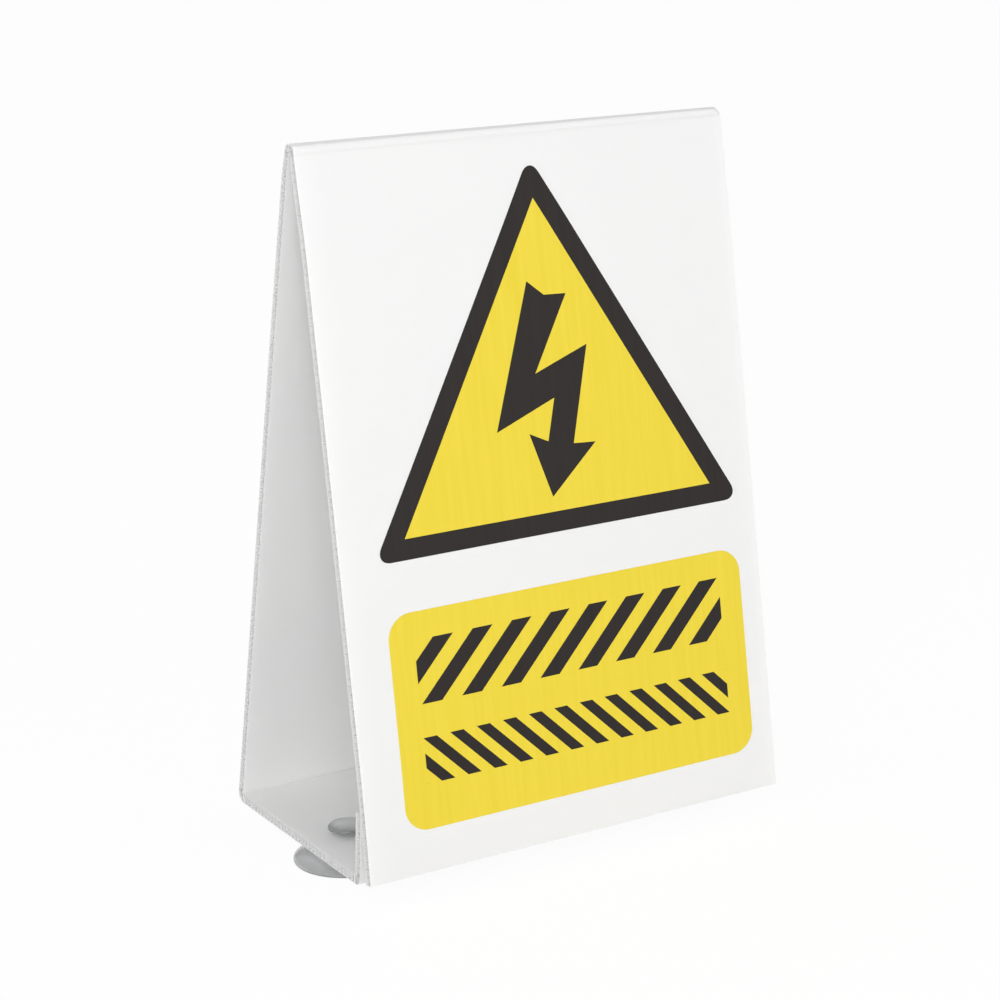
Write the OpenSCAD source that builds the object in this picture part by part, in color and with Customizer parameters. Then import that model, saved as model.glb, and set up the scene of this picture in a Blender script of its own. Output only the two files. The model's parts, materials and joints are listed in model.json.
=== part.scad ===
// Free-standing folded sign of twin-wall board on two suction cups.
// +X runs along the creases, the display face looks towards -Y, +Z is up.
// The origin is on the standing surface, under the middle of the sign.

/* [Board] */
// Width of the sheet, measured along the creases
sheet_w = 200; // [180:1:260]
// Thickness of the twin-wall board
board_t = 4; // [3.5:0.5:5]
// Distance from one web of the board to the next
flute_pitch = 3.28; // [2.8:0.02:5]
// Thickness of each of the two skins
skin_t = 0.35; // [0.3:0.05:0.6]
// Thickness of a web between the skins
web_t = 0.3; // [0.25:0.05:0.5]

/* [Fold] */
// Lean of the rear panel, forwards from upright, in degrees
rear_lean = 15; // [13:0.1:18]
// Lean of the closure flap, forwards from upright, in degrees
flap_lean = 4; // [0:0.1:4.8]
// Front panel, from its lower edge to the crest fold
front_len = 291; // [270:0.1:292]
// Rear panel, from the rear fold to the crest fold
rear_len = 297.6; // [296:0.1:310]
// Base panel, from the rear fold to the flap fold
base_len = 107.2; // [100:0.1:115]
// Closure flap, from the flap fold to its free edge
flap_len = 28.4; // [20:0.1:29]
// Gap between the flap's free edge and the front panel
closure_gap = 1; // [1:0.1:3]
// Half the gap left between the inner skins at the crest
crest_gap = 0.65; // [0.3:0.05:1.5]
// Radius left inside the two lower creases
crease_r = 0.15; // [0.1:0.05:0.3]

/* [Closure tape] */
// Width of the adhesive tape on the flap
tape_w = 12; // [6:1:18]
// Thickness of the tape
tape_t = 0.2; // [0.1:0.05:0.3]
// Distance from the ends of the tape to the ends of the flap
tape_inset = 8; // [2:1:30]

/* [Printed face] */
// Thickness of the ink
ink_t = 0.1; // [0.05:0.01:0.2]
// Sideways shift of the print from the middle of the panel
print_shift = 4; // [-6:0.5:6]
// Height of the centre of the triangle above the panel's lower edge
triangle_h = 179.5; // [170:0.1:182]
// Side of the black triangle, before its corners are rounded
border_side = 177.5; // [150:0.5:180]
// Corner radius of the black triangle
border_r = 4.5; // [2:0.5:8]
// Side of the yellow triangle inside the border
field_side = 148.2; // [120:0.1:150]
// Height of the centre of the plate above the panel's lower edge
plate_h = 62.5; // [58:0.1:66]
// Width of the plate
plate_w = 171.5; // [150:0.1:180]
// Height of the plate
plate_l = 89.4; // [70:0.1:90]
// Corner radius of the plate
plate_r = 10.5; // [2:0.5:20]
// Width of the two striped bands on the plate
band_w = 149; // [100:1:155]
// Height of the upper band
upper_band_h = 26.4; // [15:0.1:28]
// Height of the lower band
lower_band_h = 19; // [10:0.1:20]
// Height of the middle of the upper band above the middle of the plate
upper_band_rise = 20; // [17:0.5:22]
// Depth of the middle of the lower band below the middle of the plate
lower_band_drop = 16.5; // [15:0.5:22]
// Distance from one stripe of the upper band to the next
upper_pitch = 18.6; // [12:0.1:30]
// Distance from one stripe of the lower band to the next
lower_pitch = 12.4; // [8:0.1:20]

/* [Suction cups] */
// Height of the underside of the base above the standing surface
foot_h = 6.4; // [5:0.1:9]
// Radius of the cup
cup_r = 23.5; // [18:0.5:25]
// Distance of each cup from the middle of the sign
cup_x = 82; // [40:0.5:84]
// Distance of the cups behind the flap fold
cup_setback = 41; // [38:0.5:60]
// Thickness of the cup at its rim
rim_t = 1; // [0.6:0.1:1.5]
// Width of the flat ring that the cup stands on
rim_flat = 1.5; // [1:0.1:3]
// Radius of the shoulder under the base
shoulder_r = 7.5; // [6:0.5:9]
// Height of the hollow under the middle of the cup
hollow_h = 3; // [1.5:0.1:3.5]
// Radius of the neck that passes through the base
neck_r = 3.4; // [2.5:0.1:4]
// Running clearance around the neck
neck_clearance = 0.05; // [0.03:0.01:0.1]
// Radius of the button head
head_r = 8.4; // [6:0.1:9]
// Thickness of the head at its rim
head_rim_t = 1; // [0.6:0.1:2]
// Height of the widest part of the head above the base
head_lift = 2.4; // [1.5:0.1:3]
// Rise of the dome of the head above its rim
dome_h = 1.8; // [1:0.1:3]

/* [Hidden] */

$fn = 96;
flute_w = flute_pitch - web_t;
flute_h = board_t - 2 * skin_t;
crest_r = board_t + crest_gap;
seat_gap = 0.1;
seam_gap = 0.05;
curve_steps = 14;

// Rear panel and flap, in Y and Z from the rear fold
rear_up = [-sin(rear_lean), cos(rear_lean)];
rear_inward = [-cos(rear_lean), -sin(rear_lean)];
crest_from_rear = rear_len * rear_up + crest_gap * rear_inward;
flap_up = [-sin(flap_lean), cos(flap_lean)];
flap_outward = [-cos(flap_lean), -sin(flap_lean)];
flap_edge_from_rear = [-base_len, 0] + flap_len * flap_up + board_t * flap_outward;

// The front panel hangs from the crest and clears the flap's edge by the closure gap
closure_line = crest_from_rear - flap_edge_from_rear;
front_lean = acos((crest_gap - closure_gap) / norm(closure_line))
    - atan2(closure_line[1], closure_line[0]);
front_up = [sin(front_lean), cos(front_lean)];
front_outward = [-cos(front_lean), sin(front_lean)];
face_from_rear = crest_from_rear + crest_r * front_outward - front_len * front_up;

// The rear fold stands half the depth behind the origin
base_top = foot_h + board_t;
rear_pivot = [-(face_from_rear[0] + board_t) / 2, base_top];
crest_pivot = rear_pivot + crest_from_rear;
face_foot = rear_pivot + face_from_rear;
flap_pivot = rear_pivot - [base_len, 0];
cup_y = flap_pivot[0] + cup_setback;

// Positions on the display face, from the middle of its lower edge
triangle_at = [print_shift, triangle_h];
plate_at = [print_shift, plate_h];
border_circumradius = border_side / sqrt(3);
field_circumradius = field_side / sqrt(3);

// Lightning arrow, from the centre of the triangle
ARROW = [
    [-6.8, 52.4], [0.7, 46.1], [11.2, 45.6], [-6.7, 14.7], [19, 23.8], [8.5, -16.1],
    [19.1, -16.8], [-3.7, -36.6], [-12.2, -9.4], [-3.5, -13.6], [1.2, 3.8], [-27.3, -6.8]
];

// Flat twin-wall board: length along +Y, inner or outer skin on z = 0, body below it
module board(length) {
    count = floor((length - web_t) / flute_pitch);
    first = (length - count * flute_pitch + web_t) / 2;
    rotate([90, 0, 90])
        linear_extrude(sheet_w, center = true)
            difference() {
                translate([0, -board_t])
                    square([length, board_t]);
                for (i = [0:count - 1])
                    translate([first + i * flute_pitch, skin_t - board_t])
                        square([flute_w, flute_h]);
            }
}

// Pie slice from the angle a to the angle b, less than half a turn
module slice(r, a, b) {
    intersection() {
        circle(r);
        polygon([[0, 0], for (i = [0:3]) 2 * r * [cos(a + (b - a) * i / 3), sin(a + (b - a) * i / 3)]]);
    }
}

// Bent board round a fold line: two skins and the webs caught between them.
// It turns from the angle a to the angle b, and stops a hair short of both panels.
module bend(pivot, inner_r, outer_r, a, b) {
    seam_angle = seam_gap * 180 / PI / outer_r;
    sweep = b - a - 2 * seam_angle;
    cells = round(outer_r * sweep * PI / 180 / flute_pitch);
    web_angle = web_t * 180 / PI / ((inner_r + outer_r) / 2);
    cell_angle = (sweep - web_angle) / cells;
    translate([0, pivot[0], pivot[1]])
        rotate([90, 0, 90])
            linear_extrude(sheet_w, center = true)
                rotate([0, 0, a + seam_angle])
                    difference() {
                        slice(outer_r, 0, sweep);
                        circle(inner_r);
                        for (i = [0:cells - 1])
                            difference() {
                                slice(outer_r - skin_t, i * cell_angle + web_angle, (i + 1) * cell_angle);
                                circle(inner_r + skin_t);
                            }
                    }
}

// Frame of the display face: x across, y up the panel, z out of the face
module on_face() {
    translate([0, face_foot[0], face_foot[1]])
        rotate([90 - front_lean, 0, 0])
            children();
}

// Frame of the flap: x across, y towards its free edge, z out of its outer skin
module on_flap() {
    translate([0, flap_pivot[0], flap_pivot[1]])
        rotate([90 + flap_lean, 0, 0])
            translate([0, 0, board_t])
                children();
}

module triangle(circumradius) {
    polygon([for (a = [90, 210, 330]) circumradius * [cos(a), sin(a)]]);
}

module rounded_triangle(circumradius, r) {
    corner = circumradius - 2 * r;
    polygon([
        for (a = [90, 210, 330])
            for (side = [-60, 60])
                corner * [cos(a), sin(a)] + r * [cos(a + side), sin(a + side)]
    ]);
    for (a = [90, 210, 330])
        translate(corner * [cos(a), sin(a)])
            circle(r);
}

module rounded_plate(w, l, r) {
    square([w - 2 * r, l], center = true);
    square([w, l - 2 * r], center = true);
    for (x = [-1, 1])
        for (y = [-1, 1])
            translate([x * (w / 2 - r), y * (l / 2 - r)])
                circle(r);
}

// Band of slanted stripes, cut off square at its ends; slant is 1 or -1
module striped_band(h, pitch, slant) {
    reach = ceil((band_w + h) / pitch / 2);
    intersection() {
        square([band_w, h], center = true);
        for (i = [-reach:reach])
            translate([i * pitch, 0])
                polygon([
                    [-pitch / 4 - slant * h / 2, -h / 2], [pitch / 4 - slant * h / 2, -h / 2],
                    [pitch / 4 + slant * h / 2, h / 2], [-pitch / 4 + slant * h / 2, h / 2]
                ]);
    }
}

module black_marks() {
    translate(triangle_at)
        polygon(ARROW);
    translate(plate_at + [0, upper_band_rise])
        striped_band(upper_band_h, upper_pitch, 1);
    translate(plate_at - [0, lower_band_drop])
        striped_band(lower_band_h, lower_pitch, -1);
}

module base_panel() {
    color("#e6e4e4")
        difference() {
            translate([0, flap_pivot[0], base_top])
                board(base_len);
            for (x = [-cup_x, cup_x])
                translate([x, cup_y, foot_h - board_t])
                    cylinder(h = 3 * board_t, r = neck_r + neck_clearance);
        }
}

module rear_panel() {
    color("#ececec")
        translate([0, rear_pivot[0], rear_pivot[1]])
            rotate([90 + rear_lean, 0, 0])
                board(rear_len);
}

module front_panel() {
    color("#f4f4f4")
        on_face()
            board(front_len);
}

module closure_flap() {
    color("#e6e4e4")
        on_flap()
            board(flap_len);
}

module rear_fold() {
    color("#dedede")
        bend(rear_pivot, crease_r, board_t, -90, rear_lean);
}

module crest_fold() {
    color("#dedede")
        bend(crest_pivot, crest_gap, crest_r, rear_lean, 180 - front_lean);
}

module flap_fold() {
    color("#dedede")
        bend(flap_pivot, crease_r, board_t, 180 + flap_lean, 270);
}

module closure_tape() {
    color("#d8dcdc")
        on_flap()
            translate([tape_inset - sheet_w / 2, flap_len - tape_w - 1, 0])
                cube([sheet_w - 2 * tape_inset, tape_w, tape_t]);
}

module front_yellow_print() {
    color("#f3dc4b")
        on_face()
            linear_extrude(ink_t)
                difference() {
                    union() {
                        translate(triangle_at)
                            triangle(field_circumradius);
                        translate(plate_at)
                            rounded_plate(plate_w, plate_l, plate_r);
                    }
                    black_marks();
                }
}

module front_black_print() {
    color("#3a3232")
        on_face()
            linear_extrude(ink_t) {
                translate(triangle_at)
                    difference() {
                        rounded_triangle(border_circumradius, border_r);
                        triangle(field_circumradius);
                    }
                black_marks();
            }
}

// Revolved cup: hollow disc, shoulder, neck through the base, and button head
module suction_cup(x) {
    shoulder_z = foot_h - seat_gap;
    neck_top = base_top + head_lift / 4;
    head_z = base_top + head_lift;
    dish = shoulder_z - rim_t;
    hollow_r = cup_r - rim_flat;
    color("#aeb0b0", 0.8)
        translate([x, cup_y, 0])
            rotate_extrude()
                polygon(concat(
                    [[0, hollow_h]],
                    [for (i = [1:curve_steps])
                        let (u = i / curve_steps)
                            [u * hollow_r, hollow_h * (1 + cos(180 * u)) / 2]],
                    [[cup_r, 0]],
                    [for (i = [0:curve_steps])
                        let (u = i / curve_steps)
                            [cup_r + u * (shoulder_r - cup_r), rim_t + dish * sin(90 * u)]],
                    [[neck_r, shoulder_z], [neck_r, neck_top], [head_r, head_z]],
                    [for (i = [0:curve_steps])
                        let (a = 90 * i / curve_steps)
                            [head_r * cos(a), head_z + head_rim_t + dome_h * sin(a)]]
                ));
}

module suction_cup_left() {
    suction_cup(-cup_x);
}

module suction_cup_right() {
    suction_cup(cup_x);
}

base_panel();
rear_panel();
front_panel();
closure_flap();
rear_fold();
crest_fold();
flap_fold();
closure_tape();
front_yellow_print();
front_black_print();
suction_cup_left();
suction_cup_right();
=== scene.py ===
"""Looks of a free-standing safety sign, folded from twin-wall board.

One white fluted sheet is creased three times into a front panel, a rear panel, a base and a short
flap. The front carries two printed inks, and clear suction cups hold the base to what it stands on.
Lengths are in metres, in the frame's own axes: +X along the creases, the face towards -Y, +Z up.
"""

import json
import logging
import math
from dataclasses import dataclass, field
from enum import Enum
from typing import Callable

import bmesh
import bpy
from mathutils import Euler, Matrix, Vector


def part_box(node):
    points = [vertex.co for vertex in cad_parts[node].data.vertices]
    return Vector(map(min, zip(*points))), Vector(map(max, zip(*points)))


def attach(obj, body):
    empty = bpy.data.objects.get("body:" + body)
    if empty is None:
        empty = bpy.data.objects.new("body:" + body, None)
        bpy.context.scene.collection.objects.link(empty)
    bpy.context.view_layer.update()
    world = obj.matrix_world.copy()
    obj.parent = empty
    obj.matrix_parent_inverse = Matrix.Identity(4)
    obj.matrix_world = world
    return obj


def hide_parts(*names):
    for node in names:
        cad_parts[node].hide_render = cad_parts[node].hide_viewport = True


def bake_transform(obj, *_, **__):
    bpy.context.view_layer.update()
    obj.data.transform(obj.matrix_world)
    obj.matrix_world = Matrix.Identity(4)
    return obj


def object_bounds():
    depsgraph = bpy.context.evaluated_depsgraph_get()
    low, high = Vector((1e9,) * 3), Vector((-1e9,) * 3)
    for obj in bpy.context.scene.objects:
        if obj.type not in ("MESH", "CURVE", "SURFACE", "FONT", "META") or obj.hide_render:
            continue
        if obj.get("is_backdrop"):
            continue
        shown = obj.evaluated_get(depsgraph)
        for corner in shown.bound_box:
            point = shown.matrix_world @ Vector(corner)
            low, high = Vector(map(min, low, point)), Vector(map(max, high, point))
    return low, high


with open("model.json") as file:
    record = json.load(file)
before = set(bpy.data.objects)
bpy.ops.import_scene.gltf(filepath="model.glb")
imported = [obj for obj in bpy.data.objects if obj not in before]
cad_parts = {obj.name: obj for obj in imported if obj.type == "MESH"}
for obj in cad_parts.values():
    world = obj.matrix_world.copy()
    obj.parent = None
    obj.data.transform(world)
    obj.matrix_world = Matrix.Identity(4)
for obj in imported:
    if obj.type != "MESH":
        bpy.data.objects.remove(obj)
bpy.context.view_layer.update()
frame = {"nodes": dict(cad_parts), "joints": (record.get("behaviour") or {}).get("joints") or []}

LOG = logging.getLogger("folded_sign")
MM = 0.001
MERGE = 1e-7
AXIS_MERGE = 1e-6
LEAN_ROUNDS = 12
ACROSS = Vector((1.0, 0.0, 0.0))
ALONG = Vector((0.0, 1.0, 0.0))
Place = Callable[[float, float, float], Vector]
Colour = tuple[float, float, float]
Scale = tuple[float, float, float]
EVEN_REACH: Colour = (1.0, 1.0, 1.0)


class Slot(Enum):
    """The record's material slots."""

    BOARD = "board_white"
    YELLOW = "ink_yellow"
    BLACK = "ink_black"
    TAPE = "tape"
    CUP = "cup_clear"


class Slant(Enum):
    """Which way the stripes of a band lean."""

    RIGHT = 1
    LEFT = -1


class Facing(Enum):
    """Which way along Y the outer face of a panel looks."""

    FRONT = -1
    BACK = 1


def linear(red: int, green: int, blue: int) -> Colour:
    """Turns a colour of screen levels, 0 to 255, into the linear values that shaders take.

    Args:
        red, green, blue: the screen levels.

    Returns:
        The three linear values, 0 to 1.
    """
    def channel(level: int) -> float:
        """One channel of the colour."""
        share = level / 255
        return share / 12.92 if share <= 0.04045 else ((share + 0.055) / 1.055) ** 2.4

    return channel(red), channel(green), channel(blue)


def clamp(share: float) -> float:
    """Keeps a share between 0 and 1."""
    return min(max(share, 0.0), 1.0)


def ease(share: float) -> float:
    """Eases a share from 0 to 1, so that it starts and ends level."""
    return (3.0 - 2.0 * share) * share ** 2


def spline(values: tuple[float, ...], share: float) -> float:
    """Follows a smooth curve through values that stand at equal steps.

    Args:
        values: the values on the curve.
        share: how far along it to look, 0 to 1.

    Returns:
        The curve's value there.
    """
    last = len(values) - 1
    step = min(int(share * last), last - 1)
    part = share * last - step
    before, first, second, after = (
        values[min(max(step + offset, 0), last)] for offset in (-1, 0, 1, 2))
    return first + part / 2 * (
        second - before + part * (2 * before - 5 * first + 4 * second - after
                                  + part * (3 * (first - second) + after - before)))


def pivot(joint_name: str) -> Vector:
    """The point in the middle of the sign, at rest, that a joint turns about."""
    found = [joint for joint in frame["joints"] if joint["name"] == joint_name]
    return Vector(found[0]["pos_m"])


def lean_and_length(node: str, thickness: float) -> tuple[float, float]:
    """Works out how a flat panel leans from the box of its CAD node.

    Args:
        node: the panel's CAD node.
        thickness: the thickness of the board.

    Returns:
        The lean from upright in radians, and the panel's length up its slope.
    """
    low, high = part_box(node)
    depth, height = high.y - low.y, high.z - low.z
    lean = 0.0
    for _ in range(LEAN_ROUNDS):
        run, rise = depth - thickness * math.cos(lean), height - thickness * math.sin(lean)
        lean = math.atan2(run, rise)
    return lean, math.hypot(run, rise)


def panel_axes(facing: Facing, lean: float) -> tuple[Vector, Vector]:
    """The two directions that place a leaning panel.

    Args:
        facing: which way its outer face looks.
        lean: how far that face is tipped upwards, in radians.

    Returns:
        The direction off the outer face, and the direction up the slope.
    """
    side = facing.value
    return (Vector((0.0, side * math.cos(lean), math.sin(lean))),
            Vector((0.0, -side * math.sin(lean), math.cos(lean))))


def add_piece(bm: bmesh.types.BMesh, name: str, material: bpy.types.Material, slot: Slot,
              nodes: tuple[str, ...], sharp_deg: float = 32.0) -> bpy.types.Object:
    """Turns a bmesh into a shaded object that stands for some CAD nodes.

    Args:
        bm: the mesh, in its final place. It is freed.
        name: the piece's name.
        material: its material.
        slot: the record's slot that the finish belongs to. It is not used.
        nodes: the CAD nodes that it replaces.
        sharp_deg: edges that turn by more than this stay sharp.

    Returns:
        The new object, linked to the scene.
    """
    bmesh.ops.recalc_face_normals(bm, faces=bm.faces)
    if bm.calc_volume(signed=True) < 0:
        bmesh.ops.reverse_faces(bm, faces=bm.faces)
    for face in bm.faces:
        face.smooth = True
    mesh = bpy.data.meshes.new(name)
    bm.to_mesh(mesh)
    bm.free()
    mesh.set_sharp_from_angle(angle=math.radians(sharp_deg))
    mesh.materials.append(material)
    piece = bpy.data.objects.new(name, mesh)
    bpy.context.scene.collection.objects.link(piece)
    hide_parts(*nodes)
    LOG.info("%s: %d faces, in place of %s", name, len(mesh.polygons), ", ".join(nodes))
    return piece


def put_through(bm: bmesh.types.BMesh, place: Place) -> None:
    """Moves every vertex from a flat sheet's own coordinates to its place on the sign."""
    for vert in bm.verts:
        vert.co = place(*vert.co)


def cut(bm: bmesh.types.BMesh, point: Vector, normal: Vector, clear_outer: bool = False) -> None:
    """Cuts a mesh right through along a plane, and takes away what lies beyond it if asked."""
    bmesh.ops.bisect_plane(bm, geom=bm.verts[:] + bm.edges[:] + bm.faces[:], dist=MERGE,
                           plane_co=point, plane_no=normal, clear_outer=clear_outer)


def join(target: bmesh.types.BMesh, source: bmesh.types.BMesh) -> None:
    """Adds a second bmesh to the first and frees it.

    Args:
        target: the mesh that grows.
        source: the mesh that is added.
    """
    carrier = bpy.data.meshes.new("carrier")
    source.to_mesh(carrier)
    source.free()
    target.from_mesh(carrier)
    bpy.data.meshes.remove(carrier)


class NodeKit:
    """A few shorthands for building a material's node tree."""

    def __init__(self, name: str) -> None:
        """Starts a material that holds a Principled BSDF and an output.

        Args:
            name: the material's name.
        """
        self.material = bpy.data.materials.new(name)
        self.material.use_nodes = True
        self.tree = self.material.node_tree
        self.shader = self.tree.nodes["Principled BSDF"]

    def add(self, kind: str, **settings: object) -> bpy.types.Node:
        """Adds a node.

        Args:
            kind: the node's type, without its ShaderNode prefix.
            settings: properties of the node by name.

        Returns:
            The node.
        """
        node = self.tree.nodes.new("ShaderNode" + kind)
        for key, value in settings.items():
            setattr(node, key, value)
        return node

    def link(self, source: bpy.types.NodeSocket, target: bpy.types.NodeSocket) -> None:
        """Joins two sockets."""
        self.tree.links.new(source, target)

    def coordinates(self, scale: Scale) -> bpy.types.NodeSocket:
        """Adds object coordinates in metres, stretched along each axis.

        Args:
            scale: the stretch along X, Y and Z.

        Returns:
            The socket that gives them.
        """
        coords = self.add("TexCoord")
        mapping = self.add("Mapping")
        mapping.inputs["Scale"].default_value = scale
        self.link(coords.outputs["Object"], mapping.inputs["Vector"])
        return mapping.outputs["Vector"]

    def noise(self, scale: Scale, detail: float = 3.0) -> bpy.types.NodeSocket:
        """Adds a noise pattern.

        Args:
            scale: its cycles a metre along X, Y and Z.
            detail: how many finer layers it has.

        Returns:
            The socket that gives the pattern, 0 to 1.
        """
        noise = self.add("TexNoise")
        noise.inputs["Scale"].default_value = 1.0
        noise.inputs["Detail"].default_value = detail
        self.link(self.coordinates(scale), noise.inputs["Vector"])
        return noise.outputs["Fac"]

    def ramp(self, factor: bpy.types.NodeSocket, low: Colour, high: Colour,
             start: float = 0.3, end: float = 0.7) -> bpy.types.NodeSocket:
        """Turns a factor into a colour between two others.

        Args:
            factor: the socket that gives the factor.
            low: the colour up to the start.
            high: the colour from the end.
            start: the factor where the colour begins to turn.
            end: the factor where it has turned.

        Returns:
            The socket that gives the colour.
        """
        ramp = self.add("ValToRGB")
        for element, position, colour in zip(ramp.color_ramp.elements, (start, end), (low, high)):
            element.position = position
            element.color = (*colour, 1.0)
        self.link(factor, ramp.inputs["Fac"])
        return ramp.outputs["Color"]

    def spread(self, factor: bpy.types.NodeSocket, low: float, high: float) -> bpy.types.NodeSocket:
        """Stretches a factor over a range.

        Args:
            factor: the socket that gives the factor, 0 to 1.
            low: the value for 0.
            high: the value for 1.

        Returns:
            The socket that gives the value.
        """
        spread = self.add("MapRange")
        spread.inputs["To Min"].default_value = low
        spread.inputs["To Max"].default_value = high
        self.link(factor, spread.inputs["Value"])
        return spread.outputs["Result"]

    def bump(self, height: bpy.types.NodeSocket, depth: float,
             under: bpy.types.NodeSocket | None = None) -> bpy.types.NodeSocket:
        """Adds a bump, over another one if there is one.

        Args:
            height: the socket that gives its shape, 0 to 1.
            depth: its depth in metres.
            under: the socket that gives the bump under it.

        Returns:
            The socket that gives the bumped normal.
        """
        bump = self.add("Bump")
        bump.inputs["Strength"].default_value = 1.0
        bump.inputs["Distance"].default_value = depth
        self.link(height, bump.inputs["Height"])
        if under is not None:
            self.link(under, bump.inputs["Normal"])
        return bump.outputs["Normal"]

    def set(self, **values: object) -> None:
        """Sets sockets of the shader by name, with underscores for the spaces."""
        for key, value in values.items():
            self.shader.inputs[key.replace("_", " ")].default_value = value


@dataclass(frozen=True)
class BoardFinish:
    """Satin white polypropylene, slightly translucent, with faint lines along the flutes."""

    name: str = "board_plastic"
    pale: Colour = linear(251, 251, 250)
    dull: Colour = linear(248, 248, 248)
    roughness: tuple[float, float] = (0.42, 0.54)
    cloud_scale: Scale = (9.0, 14.0, 14.0)
    line_scale: Scale = (6.0, 900.0, 900.0)
    grain_scale: Scale = (2500.0, 2500.0, 2500.0)
    grain_depth: float = 0.004 * MM
    detail: float = 2.0
    glow: float = 0.5
    glow_reach: float = 0.8 * MM
    ior: float = 1.49

    def material(self) -> bpy.types.Material:
        """Builds the material.

        Returns:
            The new material.
        """
        kit = NodeKit(self.name)
        cloud = kit.noise(self.cloud_scale, self.detail)
        kit.link(kit.ramp(cloud, self.dull, self.pale), kit.shader.inputs["Base Color"])
        die_lines = kit.noise(self.line_scale, self.detail)
        kit.link(kit.spread(die_lines, *self.roughness), kit.shader.inputs["Roughness"])
        fine = kit.bump(kit.noise(self.grain_scale, self.detail), self.grain_depth)
        kit.link(kit.bump(die_lines, self.grain_depth, fine), kit.shader.inputs["Normal"])
        kit.set(Subsurface_Weight=self.glow, Subsurface_Scale=self.glow_reach,
                Subsurface_Radius=EVEN_REACH, IOR=self.ior)
        return kit.material


@dataclass(frozen=True)
class InkFinish:
    """A flat screen ink, with faint streaks in the direction that it was laid down."""

    name: str
    deep: Colour
    light: Colour
    roughness: tuple[float, float] = (0.36, 0.5)
    streak_scale: Scale = (420.0, 22.0, 22.0)
    cloud_scale: Scale = (60.0, 60.0, 60.0)
    grain_scale: Scale = (2200.0, 2200.0, 2200.0)
    grain_depth: float = 0.004 * MM
    grain_detail: float = 2.0
    shine: float = 0.32
    ior: float = 1.49

    def material(self) -> bpy.types.Material:
        """Builds the material.

        Returns:
            The new material.
        """
        kit = NodeKit(self.name)
        streaks = kit.noise(self.streak_scale)
        kit.link(kit.ramp(streaks, self.deep, self.light), kit.shader.inputs["Base Color"])
        cloud = kit.noise(self.cloud_scale)
        kit.link(kit.spread(cloud, *self.roughness), kit.shader.inputs["Roughness"])
        grain = kit.noise(self.grain_scale, self.grain_detail)
        kit.link(kit.bump(grain, self.grain_depth), kit.shader.inputs["Normal"])
        kit.set(IOR=self.ior, Specular_IOR_Level=self.shine)
        return kit.material


@dataclass(frozen=True)
class TapeFinish:
    """Frosted clear tape, with small bubbles under it."""

    name: str = "frosted_tape"
    tint: Colour = linear(232, 234, 234)
    bubble: Colour = linear(244, 245, 245)
    bubble_range: tuple[float, float] = (0.5, 0.62)
    bubble_scale: Scale = (700.0, 700.0, 700.0)
    bubble_depth: float = 0.01 * MM
    clearness: float = 0.35
    roughness: tuple[float, float] = (0.25, 0.42)
    ior: float = 1.49

    def material(self) -> bpy.types.Material:
        """Builds the material.

        Returns:
            The new material.
        """
        kit = NodeKit(self.name)
        bubbles = kit.noise(self.bubble_scale)
        kit.link(kit.ramp(bubbles, self.tint, self.bubble, *self.bubble_range),
                 kit.shader.inputs["Base Color"])
        kit.link(kit.spread(bubbles, *self.roughness), kit.shader.inputs["Roughness"])
        kit.link(kit.bump(bubbles, self.bubble_depth), kit.shader.inputs["Normal"])
        kit.set(Transmission_Weight=self.clearness, IOR=self.ior)
        return kit.material


@dataclass(frozen=True)
class VinylFinish:
    """Soft smoky vinyl, whose colour by height holds painted shade on the rim and the lower head of
    a cup, and painted light on its disc and the top of its head.
    """

    name: str = "smoky_vinyl"
    # The vinyl's grey with painted light by height: painted shade darkens the rim near the floor,
    # the disc is painted lighter against the shade under the base, painted shade darkens the lower
    # head and a painted highlight lightens the top of the dome.
    painted_light_tones: tuple[tuple[float, Colour], ...] = (
        (0.0, linear(150, 151, 152)), (0.6 * MM, linear(176, 177, 178)),
        (1.2 * MM, linear(204, 205, 206)), (5.2 * MM, linear(244, 245, 246)),
        (12.6 * MM, linear(214, 215, 216)), (13.3 * MM, linear(140, 141, 142)),
        (14.4 * MM, linear(158, 159, 160)), (15.5 * MM, linear(232, 233, 234)),
    )
    height: float = 16.0 * MM
    haze_scale: Scale = (160.0, 160.0, 160.0)
    haze_detail: float = 4.0
    haze_share: float = 0.03
    clearness: float = 0.3
    glow: float = 0.6
    glow_reach: float = 5.0 * MM
    roughness: tuple[float, float] = (0.07, 0.16)
    ior: float = 1.53

    def material(self) -> bpy.types.Material:
        """Builds the material.

        Returns:
            The new material.
        """
        kit = NodeKit(self.name)
        split = kit.add("SeparateXYZ")
        kit.link(kit.coordinates((1.0, 1.0, 1.0 / self.height)), split.inputs["Vector"])
        # This ramp by height paints shade and highlights into the base colour.
        ramp = kit.add("ValToRGB")
        elements = ramp.color_ramp.elements
        for index, (level, colour) in enumerate(self.painted_light_tones):  # a new ramp has two elements
            element = elements[index] if index < 2 else elements.new(level / self.height)
            element.position = level / self.height
            element.color = (*colour, 1.0)
        haze = kit.noise(self.haze_scale, self.haze_detail)
        wander = kit.add("Math", operation="ADD")
        kit.link(split.outputs["Z"], wander.inputs[0])
        kit.link(kit.spread(haze, -self.haze_share, self.haze_share), wander.inputs[1])
        kit.link(wander.outputs[0], ramp.inputs["Fac"])
        kit.link(ramp.outputs["Color"], kit.shader.inputs["Base Color"])
        kit.link(kit.spread(haze, *self.roughness), kit.shader.inputs["Roughness"])
        kit.set(Transmission_Weight=self.clearness, IOR=self.ior, Subsurface_Weight=self.glow,
                Subsurface_Scale=self.glow_reach, Subsurface_Radius=EVEN_REACH)
        return kit.material


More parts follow.
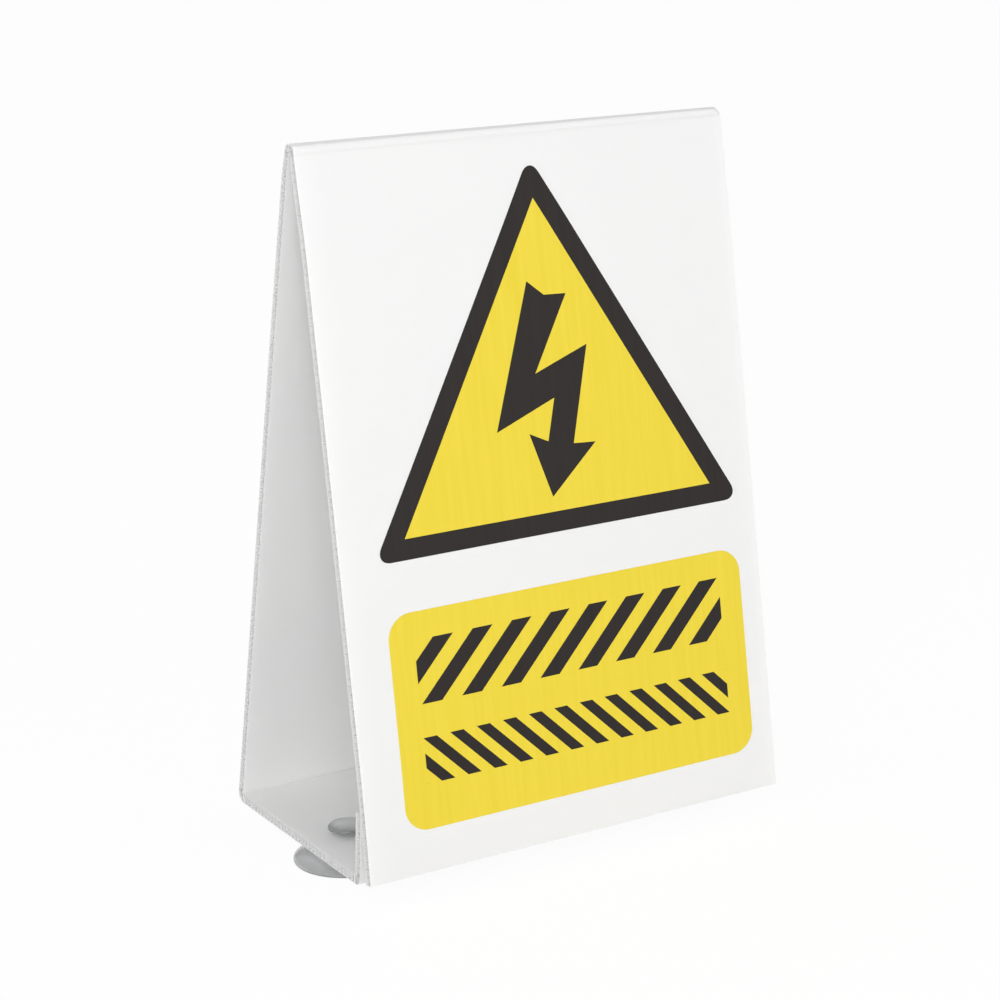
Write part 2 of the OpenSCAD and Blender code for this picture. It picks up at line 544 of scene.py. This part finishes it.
@dataclass(frozen=True)
class BoardStock:
    """Twin-wall board: two skins, with webs between them that run across the sign."""

    thickness: float = 4.0 * MM
    pitch: float = 3.28 * MM
    skin: float = 0.35 * MM
    web: float = 0.3 * MM
    sink: float = 0.014 * MM
    sink_cuts: tuple[float, ...] = (0.28, 0.5, 0.72)
    half_width: float = 100.0 * MM
    run_steps: tuple[float, ...] = (0.0, 0.003, 0.008, 0.016, 0.03, 0.1, 0.2, 0.32, 0.44)

    def cells(self, length: float) -> int:
        """How many flutes fit in a length of board."""
        return max(1, round(length / self.pitch))

    def stations(self) -> list[float]:
        """Where the board is cut along its width, closer together near its two ends."""
        half = [(2 * share - 1) * self.half_width for share in self.run_steps]
        return half + [-station for station in reversed(half)]

    def sag(self, share: float) -> float:
        """How far a skin sinks at a share of the way from one web to the next."""
        return self.sink * (1.0 - (2.0 * share - 1.0) ** 2)

    def _cell(self, bm: bmesh.types.BMesh, width: float) -> None:
        """Makes one cell of the section: a grid with the flute's faces taken out.

        Args:
            bm: the empty mesh that takes the cell.
            width: the distance from the middle of one web to the middle of the next.
        """
        edge = self.web / 2 / width
        columns = (0.0, edge, *self.sink_cuts, 1.0 - edge, 1.0)
        rows = (0.0, -self.skin, self.skin - self.thickness, -self.thickness)
        last_column, last_row = len(columns) - 1, len(rows) - 1
        bmesh.ops.create_grid(bm, x_segments=last_column, y_segments=last_row, size=0.5)
        flute = [
            face for face in bm.faces
            if abs(face.calc_center_median().y) < 0.5 / last_row
            and abs(face.calc_center_median().x) < 0.5 - 1.0 / last_column
        ]
        bmesh.ops.delete(bm, geom=flute, context="FACES")
        for vert in bm.verts:
            column = columns[round((vert.co.x + 0.5) * last_column)]
            row = round((0.5 - vert.co.y) * last_row)
            sag = self.sag(column)
            height = rows[row] + (-sag if row == 0 else sag if row == last_row else 0.0)
            vert.co = Vector((0.0, column * width, height))

    def strip(self, length: float, bends: int = 1) -> bmesh.types.BMesh:
        """Makes a flat strip of board with its outer skin on height 0 and its start at 0.

        Args:
            length: how far the strip runs along +Y.
            bends: into how many equal steps it is cut along its length, so that it can curl.

        Returns:
            A new closed mesh, as wide as the sheet along X.
        """
        bm = bmesh.new()
        count = self.cells(length)
        width = length / count
        self._cell(bm, width)
        if count > 1:
            bmesh.ops.spin(bm, geom=bm.verts[:] + bm.edges[:] + bm.faces[:], axis=ACROSS,
                           angle=0.0, dvec=width * ALONG, steps=count - 1, use_duplicate=True)
        bmesh.ops.remove_doubles(bm, verts=bm.verts, dist=MERGE)
        bmesh.ops.translate(bm, verts=bm.verts, vec=-self.half_width * ACROSS)
        grown = bmesh.ops.extrude_face_region(bm, geom=bm.faces[:])["geom"]
        far_end = [item for item in grown if isinstance(item, bmesh.types.BMVert)]
        bmesh.ops.translate(bm, verts=far_end, vec=2 * self.half_width * ACROSS)
        for station in self.stations()[1:-1]:
            cut(bm, station * ACROSS, ACROSS)
        for bend in range(1, bends):
            cut(bm, length * bend / bends * ALONG, ALONG)
        return bm


@dataclass
class Panel:
    """A straight stretch of the sheet between two creases, or a crease and a cut edge.

    Its own coordinates are x across the sign, along from its lower edge, and height off its outer
    face. Subclasses say how it bows.
    """

    stock: BoardStock
    node: str
    piece_name: str
    body: str
    origin: Vector
    along: Vector
    outward: Vector
    length: float
    drift: float = 0.0
    drift_from: float = 0.68
    crush: float = 0.0
    crush_reach: float = 6.0 * MM
    trim: float = 0.0

    def bow(self, across: float, along: float) -> float:
        """How far the face stands off its flat plane at a point."""
        return 0.0

    def place(self, across: float, along: float, height: float) -> Vector:
        """Turns the panel's own coordinates into a point in the frame.

        Args:
            across: the distance across the sign.
            along: the distance from the lower edge.
            height: the height off the outer face.

        Returns:
            The point.
        """
        share = clamp((along / self.length - self.drift_from) / (1.0 - self.drift_from))
        sunk = self.crush * math.exp(-((self.length - along) / self.crush_reach) ** 2)
        depth = -self.stock.thickness
        lift = (depth + (height - depth) * (1.0 + sunk / depth) + self.bow(across, along)
                + ease(share) * self.drift)
        up = along + self.trim * (1.0 - along / self.length)
        return self.origin + across * ACROSS + up * self.along + lift * self.outward

    def build(self, material: bpy.types.Material) -> bpy.types.Object:
        """Builds the panel's board and sets it on its body.

        Args:
            material: the board's material.

        Returns:
            The finished piece.
        """
        bm = self.stock.strip(self.length)
        put_through(bm, self.place)
        piece = add_piece(bm, self.piece_name, material, Slot.BOARD, (self.node,))
        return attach(piece, self.body)


@dataclass
class FrontPanel(Panel):
    """The display panel, which bows forwards between the crest and the flap."""

    belly: float = 0.95 * MM
    side_belly: float = 1.0 * MM
    side_reach: float = 60.0 * MM
    belly_share: float = 0.85
    belly_power: float = 1.3
    top_fade: float = 0.14
    curl: float = 1.6 * MM
    curl_height: float = 55.0 * MM
    curl_width: float = 95.0 * MM

    def bow(self, across: float, along: float) -> float:
        """Works out the belly, less the curl of the lower left corner towards the flap.

        Args:
            across: the distance across the sign.
            along: the distance from the lower edge.

        Returns:
            How far the face stands off its flat plane.
        """
        share = clamp(along / self.length)
        rise = math.sin(math.pi / 2 * min(1.0, share / self.belly_share)) ** self.belly_power
        from_left = across + self.stock.half_width
        belly = self.belly + self.side_belly * math.exp(-(from_left / self.side_reach) ** 2)
        low = max(0.0, 1.0 - along / self.curl_height)
        curl = self.curl * low ** 2 * math.exp(-(from_left / self.curl_width) ** 2)
        return belly * rise * ease(min(1.0, (1.0 - share) / self.top_fade)) - curl


@dataclass
class FlapPanel(Panel):
    """The closure flap, pressed forwards against the back of the display panel."""

    press: float = 1.1 * MM

    def bow(self, across: float, along: float) -> float:
        """The flap springs out a little more towards its free edge."""
        return self.press * max(along, 0.0) / self.length


@dataclass
class Crease:
    """A fold of the sheet: a strip of board bent round a line that runs across the sign."""

    stock: BoardStock
    node: str
    piece_name: str
    bodies: tuple[str, str]
    centre: Vector
    inner_radius: float
    outer_radius: float
    start: float
    end: float
    reach: float = 0.0
    bends: int = 1

    def point(self, across: float, turn: float, radius: float) -> Vector:
        """A point at an angle and a distance from the fold line."""
        arm = Vector((0.0, math.cos(turn), math.sin(turn)))
        return self.centre + across * ACROSS + radius * arm

    def swell(self, across: float, share: float) -> float:
        """The outer skin's radius at a share of the turn, against the radius at its ends."""
        return 1.0

    def settle(self, across: float, share: float) -> Vector:
        """How far the bend has moved bodily at a point."""
        return Vector()

    def place(self, across: float, along: float, height: float) -> Vector:
        """Turns the strip's own coordinates into a point in the frame.

        Args:
            across: the distance across the sign.
            along: the distance round the bend, on the outer skin.
            height: the height off the outer skin.

        Returns:
            The point.
        """
        share = along / (self.outer_radius * abs(self.end - self.start))
        turn = self.start + (self.end - self.start) * share
        outer = self.outer_radius * self.swell(across, share)
        squeeze = (outer - self.inner_radius) / self.stock.thickness
        return self.point(across, turn, outer + squeeze * height) + self.settle(across, share)

    def build(self, material: bpy.types.Material) -> bpy.types.Object:
        """Builds the bent strip, which turns gradually from one panel to the other, and bakes it in
        place. It is not set on either body.

        Args:
            material: the board's material.

        Returns:
            The finished piece.
        """
        bm = self.stock.strip(self.outer_radius * abs(self.end - self.start), self.bends)
        put_through(bm, self.place)
        piece = add_piece(bm, self.piece_name, material, Slot.BOARD, (self.node,))
        middle = (self.outer_radius + self.inner_radius) / 2
        first, last = self.point(0.0, self.start, middle), self.point(0.0, self.end, middle)
        over = self.reach * (last - first)
        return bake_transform(piece, *self.bodies, start=first - over, end=last + over)


@dataclass
class Crest(Crease):
    """The top fold: nearly square over the display panel, and drawn in over the rear panel."""

    swells: tuple[float, ...] = (0.7957, 0.81, 0.845, 0.89, 0.945, 0.99, 1.0, 0.993, 1.02, 1.1,
                                 1.09, 1.026, 1.0)
    shifts: tuple[Vector, Vector] = (Vector(), Vector())
    slump: float = 0.9 * MM
    knock: float = 0.25
    knock_reach: float = 3.0 * MM
    knock_power: int = 3

    def swell(self, across: float, share: float) -> float:
        """Shapes the outer skin, whose front corner is knocked in at the right end.

        Args:
            across: the distance across the sign.
            share: the share of the turn, from the rear panel to the display panel.

        Returns:
            The outer skin's radius, against the radius at its ends.
        """
        near_end = max(0.0, 1.0 - (self.stock.half_width - across) / self.knock_reach)
        front = math.sin(math.pi * share ** self.knock_power) ** 2
        return spline(self.swells, share) * (1.0 - self.knock * near_end ** 2 * front)

    def settle(self, across: float, share: float) -> Vector:
        """Moves the crest with its panels, and lets it sag towards its right end.

        Args:
            across: the distance across the sign.
            share: the share of the turn, from the rear panel to the display panel.

        Returns:
            How far the bend has moved bodily.
        """
        from_left = (across + self.stock.half_width) / (2 * self.stock.half_width)
        sag = self.slump * math.sin(math.pi * share) ** 2 * from_left
        return self.shifts[0].lerp(self.shifts[1], share) - Vector((0.0, 0.0, sag))


@dataclass
class Print:
    """The two inks on the display panel, drawn from the middle of its lower edge."""

    panel: FrontPanel
    shift: float = 4.0 * MM
    triangle_up: float = 179.5 * MM
    border_side: float = 177.5 * MM
    border_radius: float = 4.5 * MM
    border_steps: int = 8
    field_side: float = 148.2 * MM
    plate_up: float = 62.5 * MM
    plate_size: tuple[float, float] = (171.5 * MM, 89.4 * MM)
    plate_radius: float = 10.5 * MM
    plate_steps: int = 12
    band_width: float = 149.0 * MM
    upper_band: tuple[float, float, float] = (20.0 * MM, 26.4 * MM, 18.6 * MM)
    lower_band: tuple[float, float, float] = (-16.5 * MM, 19.0 * MM, 12.4 * MM)
    root: float = -0.02 * MM
    yellow_film: float = 0.04 * MM
    black_film: float = 0.075 * MM
    arrow: tuple[tuple[float, float], ...] = (
        (-6.8, 52.4), (0.7, 46.1), (11.2, 45.6), (-6.7, 14.7), (19.0, 23.8), (8.5, -16.1),
        (19.1, -16.8), (-3.7, -36.6), (-12.2, -9.4), (-3.5, -13.6), (1.2, 3.8), (-27.3, -6.8),
    )

    def _polygon(self, points: list[tuple[float, float]], up: float, corner: float = 0.0,
                 segments: int = 1) -> bmesh.types.BMesh:
        """Makes one flat outline, with its corners rounded if asked.

        Args:
            points: the corners, about the outline's own middle.
            up: how far that middle is above the panel's lower edge.
            corner: how far along each side the rounding starts, or 0.
            segments: the steps in each rounding.

        Returns:
            A new mesh with one face.
        """
        bm = bmesh.new()
        verts = [bm.verts.new((self.shift + x, up + y, 0.0)) for x, y in points]
        edges = [bm.edges.new(pair) for pair in zip(verts, verts[1:] + verts[:1])]
        bmesh.ops.contextual_create(bm, geom=edges)
        if corner:
            bmesh.ops.bevel(bm, geom=verts, offset=corner, offset_type="OFFSET", segments=segments,
                            profile=0.5, affect="VERTICES", material=-1)
        return bm

    def _triangle(self, side: float, radius: float = 0.0) -> bmesh.types.BMesh:
        """Makes an upright triangle with equal sides.

        Args:
            side: the length of a side before the corners are rounded.
            radius: the corners' radius, or 0.

        Returns:
            A new mesh with one face.
        """
        reach = side / math.sqrt(3)
        corners = [(reach * math.cos(turn), reach * math.sin(turn))
                   for turn in (math.radians(90), math.radians(210), math.radians(330))]
        return self._polygon(corners, self.triangle_up, radius * math.sqrt(3), self.border_steps)

    def _plate(self) -> bmesh.types.BMesh:
        """Makes the rounded plate under the triangle.

        Returns:
            A new mesh with one face.
        """
        wide, high = self.plate_size[0] / 2, self.plate_size[1] / 2
        corners = [(-wide, -high), (wide, -high), (wide, high), (-wide, high)]
        return self._polygon(corners, self.plate_up, self.plate_radius, self.plate_steps)

    def _arrow(self) -> bmesh.types.BMesh:
        """Makes the lightning arrow in the triangle.

        Returns:
            A new mesh of triangles.
        """
        bm = self._polygon([(x * MM, y * MM) for x, y in self.arrow], self.triangle_up)
        bmesh.ops.triangulate(bm, faces=bm.faces[:], ngon_method="EAR_CLIP")
        return bm

    def _border(self) -> bmesh.types.BMesh:
        """Makes the black border: the outer triangle with the yellow field cut out of it.

        Returns:
            A new mesh of triangles.
        """
        bm = self._triangle(self.border_side, self.border_radius)
        join(bm, self._triangle(self.field_side))
        bmesh.ops.delete(bm, geom=bm.faces[:], context="FACES_ONLY")
        bmesh.ops.triangle_fill(bm, edges=bm.edges[:], use_beauty=True)
        return bm

    def _band(self, band: tuple[float, float, float], slant: Slant) -> bmesh.types.BMesh:
        """Makes a band of slanted stripes, cut off square at its ends.

        Args:
            band: its rise above the plate's middle, its height and the pitch of its stripes.
            slant: which way the stripes lean.

        Returns:
            A new flat mesh.
        """
        rise, high, pitch = band
        bm = bmesh.new()
        centre = Vector((self.shift, self.plate_up + rise, 0.0))
        count = math.ceil((self.band_width + high) / pitch / 2)
        for step in range(-count, count + 1):
            stripe = bmesh.ops.create_grid(bm, x_segments=1, y_segments=1, size=0.5)["verts"]
            for vert in stripe:
                across = vert.co.x * pitch / 2 + step * pitch + slant.value * vert.co.y * high
                vert.co = centre + Vector((across, vert.co.y * high, 0.0))
        for side in (-1, 1):
            cut(bm, centre + side * self.band_width / 2 * ACROSS, side * ACROSS, clear_outer=True)
        return bm

    def _film(self, bm: bmesh.types.BMesh, top: float) -> None:
        """Cuts a flat outline along the flutes, thickens it and lays it on the bowed face.

        Args:
            bm: the outline.
            top: the height of the ink's surface above the board.
        """
        stock, length = self.panel.stock, self.panel.length
        width = length / stock.cells(length)
        heights = [vert.co.y for vert in bm.verts]
        first, last = math.ceil(2 * min(heights) / width), math.floor(2 * max(heights) / width)
        for half_cell in range(first, last + 1):
            cut(bm, half_cell * width / 2 * ALONG, ALONG)
        for station in stock.stations()[1:-1]:
            cut(bm, station * ACROSS, ACROSS)
        bmesh.ops.triangulate(bm, faces=[face for face in bm.faces if len(face.verts) > 4])
        for vert in bm.verts:
            vert.co.z = self.root
        grown = bmesh.ops.extrude_face_region(bm, geom=bm.faces[:])["geom"]
        for item in grown:
            if isinstance(item, bmesh.types.BMVert):
                item.co.z = top - stock.sag(item.co.y / width % 1.0)
        put_through(bm, self.panel.place)

    def build(self, yellow: bpy.types.Material, black: bpy.types.Material) -> None:
        """Builds both inks and sets them on the front panel's body.

        Args:
            yellow: the yellow ink's material.
            black: the black ink's material.
        """
        field_ink = self._triangle(self.field_side)
        join(field_ink, self._plate())
        self._film(field_ink, self.yellow_film)
        piece = add_piece(field_ink, "yellow_ink", yellow, Slot.YELLOW, ("front_yellow_print",))
        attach(piece, self.panel.body)
        marks = self._border()
        for part in (self._arrow(), self._band(self.upper_band, Slant.RIGHT),
                     self._band(self.lower_band, Slant.LEFT)):
            join(marks, part)
        self._film(marks, self.black_film)
        piece = add_piece(marks, "black_ink", black, Slot.BLACK, ("front_black_print",))
        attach(piece, self.panel.body)


@dataclass
class Tape:
    """The strip of adhesive tape between the flap and the display panel."""

    flap: FlapPanel
    width: float = 12.0 * MM
    inset: float = 8.0 * MM
    below_edge: float = 1.0 * MM
    thickness: float = 0.2 * MM
    softness: float = 0.06 * MM

    def build(self, material: bpy.types.Material) -> bpy.types.Object:
        """Builds the strip with softened edges and sets it on the flap's body.

        Args:
            material: the tape's material.

        Returns:
            The finished piece.
        """
        bm = bmesh.new()
        bmesh.ops.create_cube(bm, size=1.0)
        half = self.flap.stock.half_width - self.inset
        middle = self.flap.length - self.below_edge - self.width / 2
        bmesh.ops.scale(bm, vec=(2 * half, self.width, self.thickness), verts=bm.verts)
        bmesh.ops.bevel(bm, geom=bm.edges[:], offset=self.softness, segments=2, profile=0.5,
                        affect="EDGES", material=-1)
        bmesh.ops.translate(bm, vec=(0.0, middle, self.thickness / 2), verts=bm.verts)
        put_through(bm, self.flap.place)
        piece = add_piece(bm, "closure_tape_strip", material, Slot.TAPE, ("closure_tape",))
        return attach(piece, self.flap.body)


@dataclass
class SuctionCup:
    """A clear cup under the base, with a neck through it and a button head on top."""

    node: str
    body: str
    centre: Vector
    base_low: float
    base_top: float
    radius: float = 23.5 * MM
    rim: float = 1.0 * MM
    rim_flat: float = 1.5 * MM
    rim_round: float = 0.15 * MM
    rim_side: float = 0.8 * MM
    rim_step: float = 0.2 * MM
    hollow: float = 3.0 * MM
    shoulder: float = 7.5 * MM
    neck: float = 3.4 * MM
    neck_share: float = 0.25
    head: float = 8.4 * MM
    head_lift: float = 2.4 * MM
    head_rim: float = 1.0 * MM
    head_inset: float = 0.3 * MM
    head_edge: tuple[float, float] = (-0.05 * MM, 0.25 * MM)
    dome: float = 1.8 * MM
    seat_gap: float = 0.1 * MM
    turns: int = 72
    curve_steps: int = 14
    sharp_deg: float = 50.0

    def _profile(self) -> list[tuple[float, float]]:
        """Draws the half section, from the axis in the hollow round to the axis on the dome.

        Returns:
            Each point's radius and height.
        """
        steps = [step / self.curve_steps for step in range(self.curve_steps + 1)]
        seat = self.base_low - self.seat_gap
        inner = self.radius - self.rim_flat
        points = [(share * inner, self.hollow * (1 + math.cos(math.pi * share)) / 2)
                  for share in steps]
        points += [(self.radius - self.rim_round, 0.0), (self.radius, self.rim_round),
                   (self.radius, self.rim_side)]
        back = self.radius - self.rim_step
        points += [(back + share * (self.shoulder - self.radius),
                    self.rim + (seat - self.rim) * math.sin(math.pi / 2 * share))
                   for share in steps]
        head_low = self.base_top + self.head_lift
        points += [(self.neck, seat), (self.neck, self.base_top + self.neck_share * self.head_lift),
                   (self.head - self.head_inset, head_low + self.head_edge[0]),
                   (self.head, head_low + self.head_edge[1])]
        dome_low = head_low + self.head_rim
        points += [(self.head * math.cos(math.pi / 2 * share),
                    dome_low + self.dome * math.sin(math.pi / 2 * share)) for share in steps]
        return points

    def build(self, material: bpy.types.Material) -> bpy.types.Object:
        """Builds the cup by turning its section round the neck's axis.

        Args:
            material: the vinyl's material.

        Returns:
            The finished piece.
        """
        bm = bmesh.new()
        verts = [bm.verts.new((radius, 0.0, height)) for radius, height in self._profile()]
        edges = [bm.edges.new(pair) for pair in zip(verts, verts[1:])]
        bmesh.ops.spin(bm, geom=verts + edges, cent=(0, 0, 0), axis=(0, 0, 1), angle=2 * math.pi,
                       steps=self.turns, use_merge=True)
        bmesh.ops.remove_doubles(bm, verts=bm.verts, dist=AXIS_MERGE)
        bmesh.ops.translate(bm, vec=(self.centre.x, self.centre.y, 0.0), verts=bm.verts)
        piece = add_piece(bm, self.node + "_body", material, Slot.CUP, (self.node,), self.sharp_deg)
        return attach(piece, self.body)


@dataclass
class FoldedSheet:
    """The whole sheet: its four panels and the three creases between them."""

    stock: BoardStock = field(default_factory=BoardStock)
    crest_gap: float = 0.65 * MM
    crest_crush: float = 0.95 * MM
    crest_bends: int = 60
    crease_radius: float = 0.15 * MM
    blend_reach: float = 0.3
    rear_drift: float = -0.45 * MM
    rear_trim: float = 0.015 * MM
    front_drift: float = 0.35 * MM
    front_drift_from: float = 0.84
    rear_lean: float = field(init=False)
    front_lean: float = field(init=False)
    flap_lean: float = field(init=False)
    rear: Panel = field(init=False)
    front: FrontPanel = field(init=False)
    flap: FlapPanel = field(init=False)

    def __post_init__(self) -> None:
        """Reads the panels' places and leans from the frame."""
        stock, thick = self.stock, self.stock.thickness
        self.rear_lean, length = lean_and_length("rear_panel", thick)
        outward, along = panel_axes(Facing.BACK, self.rear_lean)
        self.rear = Panel(stock, "rear_panel", "rear_board", "rear",
                          pivot("rear_crease") + thick * outward, along, outward, length,
                          drift=self.rear_drift, crush=self.crest_crush, trim=self.rear_trim)
        self.front_lean, length = lean_and_length("front_panel", thick)
        outward, along = panel_axes(Facing.FRONT, self.front_lean)
        foot = pivot("crest_crease") + (self.crest_gap + thick) * outward - length * along
        self.front = FrontPanel(stock, "front_panel", "front_board", "front",
                                foot, along, outward, length,
                                drift=self.front_drift, drift_from=self.front_drift_from)
        self.flap_lean, length = lean_and_length("closure_flap", thick)
        outward, along = panel_axes(Facing.FRONT, -self.flap_lean)
        self.flap = FlapPanel(stock, "closure_flap", "flap_board", "flap",
                              pivot("flap_crease") + thick * outward, along, outward, length)

    def creases(self) -> list[Crease]:
        """Lays out the three folds, each between the end planes of its two panels.

        Returns:
            The rear crease, the crest and the flap's crease.
        """
        stock, thick, half_turn = self.stock, self.stock.thickness, math.pi
        return [
            Crease(stock, "rear_fold", "rear_bend", ("base", "rear"), pivot("rear_crease"),
                   self.crease_radius, thick, -half_turn / 2, self.rear_lean,
                   reach=self.blend_reach),
            Crest(stock, "crest_fold", "crest_bend", ("rear", "front"), pivot("crest_crease"),
                  self.crest_gap, self.crest_gap + thick, self.rear_lean,
                  half_turn - self.front_lean, reach=self.blend_reach, bends=self.crest_bends,
                  shifts=(self.rear_drift * self.rear.outward,
                          self.front_drift * self.front.outward)),
            Crease(stock, "flap_fold", "flap_bend", ("base", "flap"), pivot("flap_crease"),
                   self.crease_radius, thick, 1.5 * half_turn, half_turn + self.flap_lean),
        ]

    def build(self, board: bpy.types.Material) -> None:
        """Builds every panel and crease, and dresses the base's own CAD mesh.

        Args:
            board: the board's material.
        """
        for panel in (self.rear, self.front, self.flap):
            panel.build(board)
        for crease in self.creases():
            crease.build(board)
        base_materials = frame["nodes"]["base_panel"].data.materials
        base_materials.clear()
        base_materials.append(board)
        LOG.info("base_panel: the CAD node's own mesh")


def seen_directly(tree: bpy.types.NodeTree, level: float) -> bpy.types.NodeSocket:
    """Tells where the camera, a gloss or a clear piece sees a material.

    Args:
        tree: the node tree that gets the nodes.
        level: the factor where it does. It is 0 elsewhere.

    Returns:
        The socket that gives the factor.
    """
    path = tree.nodes.new("ShaderNodeLightPath")
    seen = path.outputs["Is Camera Ray"]
    for other in ("Is Glossy Ray", "Is Transmission Ray"):
        largest = tree.nodes.new("ShaderNodeMath")
        largest.operation = "MAXIMUM"
        tree.links.new(seen, largest.inputs[0])
        tree.links.new(path.outputs[other], largest.inputs[1])
        seen = largest.outputs[0]
    scaled = tree.nodes.new("ShaderNodeMath")
    scaled.operation = "MULTIPLY"
    scaled.inputs[1].default_value = level
    tree.links.new(seen, scaled.inputs[0])
    return scaled.outputs[0]


@dataclass(frozen=True)
class SoftBox:
    """A square lamp."""

    name: str
    at: tuple[float, float, float]
    size: float
    watts: float

    def build(self, aim: Vector) -> None:
        """Hangs the lamp so that it faces a point.

        Args:
            aim: the point.
        """
        light = bpy.data.lights.new(self.name, "AREA")
        light.shape = "SQUARE"
        light.size = self.size
        light.energy = self.watts
        lamp = bpy.data.objects.new(self.name, light)
        lamp.location = self.at
        lamp.rotation_euler = (aim - lamp.location).to_track_quat("-Z", "Y").to_euler()
        bpy.context.scene.collection.objects.link(lamp)


@dataclass
class Studio:
    """The pale floor, the lamps and the camera."""

    camera_at: Vector = field(default_factory=lambda: Vector((-514.6, -882.4, 410.3)) * MM)
    heading_deg: float = 30.29
    pitch_deg: float = -14.77
    roll_deg: float = -1.64
    lens_mm: float = 89.19
    sensor_mm: float = 36.0
    floor_half: float = 15.0
    floor_white: float = 0.92
    floor_shine: float = 1.02
    shadow_share: float = 0.08
    sky_level: float = 0.55
    lamps: tuple[SoftBox, ...] = (
        SoftBox("left_soft_box", (-1.55, -2.0, 0.95), 1.8, 29.0),
        SoftBox("front_soft_box", (0.45, -2.55, 0.55), 1.2, 10.0),
    )
    lamps_aim: Vector = field(default_factory=lambda: Vector((0.0, 0.0, 0.15)))

    def _floor_material(self) -> bpy.types.Material:
        """Builds a matt white that looks almost pure white.

        Returns:
            The new material.
        """
        material = bpy.data.materials.new("floor_white")
        material.use_nodes = True
        tree = material.node_tree
        tree.nodes.clear()
        matt = tree.nodes.new("ShaderNodeBsdfDiffuse")
        matt.inputs["Color"].default_value = (self.floor_white,) * 3 + (1.0,)
        bright = tree.nodes.new("ShaderNodeEmission")
        bright.inputs["Strength"].default_value = self.floor_shine
        blend = tree.nodes.new("ShaderNodeMixShader")
        output = tree.nodes.new("ShaderNodeOutputMaterial")
        tree.links.new(seen_directly(tree, 1.0 - self.shadow_share), blend.inputs["Fac"])
        tree.links.new(matt.outputs[0], blend.inputs[1])
        tree.links.new(bright.outputs[0], blend.inputs[2])
        tree.links.new(blend.outputs[0], output.inputs["Surface"])
        return material

    def floor(self) -> None:
        """A wide white floor that keeps a soft shadow."""
        bm = bmesh.new()
        bmesh.ops.create_grid(bm, x_segments=1, y_segments=1, size=self.floor_half)
        mesh = bpy.data.meshes.new("floor")
        bm.to_mesh(mesh)
        bm.free()
        mesh.materials.append(self._floor_material())
        ground = bpy.data.objects.new("floor", mesh)
        bpy.context.scene.collection.objects.link(ground)
        ground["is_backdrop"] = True

    def sky(self) -> None:
        """An even pale sky for light, which looks white."""
        world = bpy.data.worlds.new("studio")
        bpy.context.scene.world = world
        world.use_nodes = True
        tree = world.node_tree
        background = tree.nodes["Background"]
        background.inputs["Color"].default_value = (1.0, 1.0, 1.0, 1.0)
        level = tree.nodes.new("ShaderNodeMapRange")
        level.inputs["To Min"].default_value = self.sky_level
        level.inputs["To Max"].default_value = 1.0
        tree.links.new(seen_directly(tree, 1.0), level.inputs["Value"])
        tree.links.new(level.outputs["Result"], background.inputs["Strength"])

    def camera(self) -> None:
        """The camera, at its heading, pitch and roll."""
        data = bpy.data.cameras.new("camera")
        data.lens = self.lens_mm
        data.sensor_width = data.sensor_height = self.sensor_mm
        data.sensor_fit = "HORIZONTAL"
        camera = bpy.data.objects.new("camera", data)
        tilt = math.pi / 2 + math.radians(self.pitch_deg)
        level = Euler((tilt, 0.0, -math.radians(self.heading_deg)))
        roll = Matrix.Rotation(math.radians(self.roll_deg), 4, "Z")
        camera.matrix_world = Matrix.Translation(self.camera_at) @ level.to_matrix().to_4x4() @ roll
        bpy.context.scene.collection.objects.link(camera)
        bpy.context.scene.camera = camera

    def build(self) -> None:
        """Builds the whole studio."""
        self.floor()
        self.sky()
        for lamp in self.lamps:
            lamp.build(self.lamps_aim)
        self.camera()
        bpy.context.scene.view_settings.view_transform = "Standard"


def main() -> None:
    logging.basicConfig(level=logging.INFO, format="%(name)s: %(message)s")
    Studio().build()
    board = BoardFinish().material()
    sheet = FoldedSheet()
    sheet.build(board)
    yellow = InkFinish("yellow_ink", linear(234, 210, 52), linear(238, 214, 62)).material()
    black = InkFinish("black_ink", linear(17, 9, 5), linear(25, 16, 11)).material()
    Print(sheet.front).build(yellow, black)
    Tape(sheet.flap).build(TapeFinish().material())
    vinyl = VinylFinish().material()
    low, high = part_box("base_panel")
    for side in ("left", "right"):
        node = "suction_cup_" + side
        SuctionCup(node, "cup_" + side, pivot(f"cup_{side}_swivel"), low.z, high.z).build(vinyl)
    low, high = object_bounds()


if __name__ == "__main__":
    main()
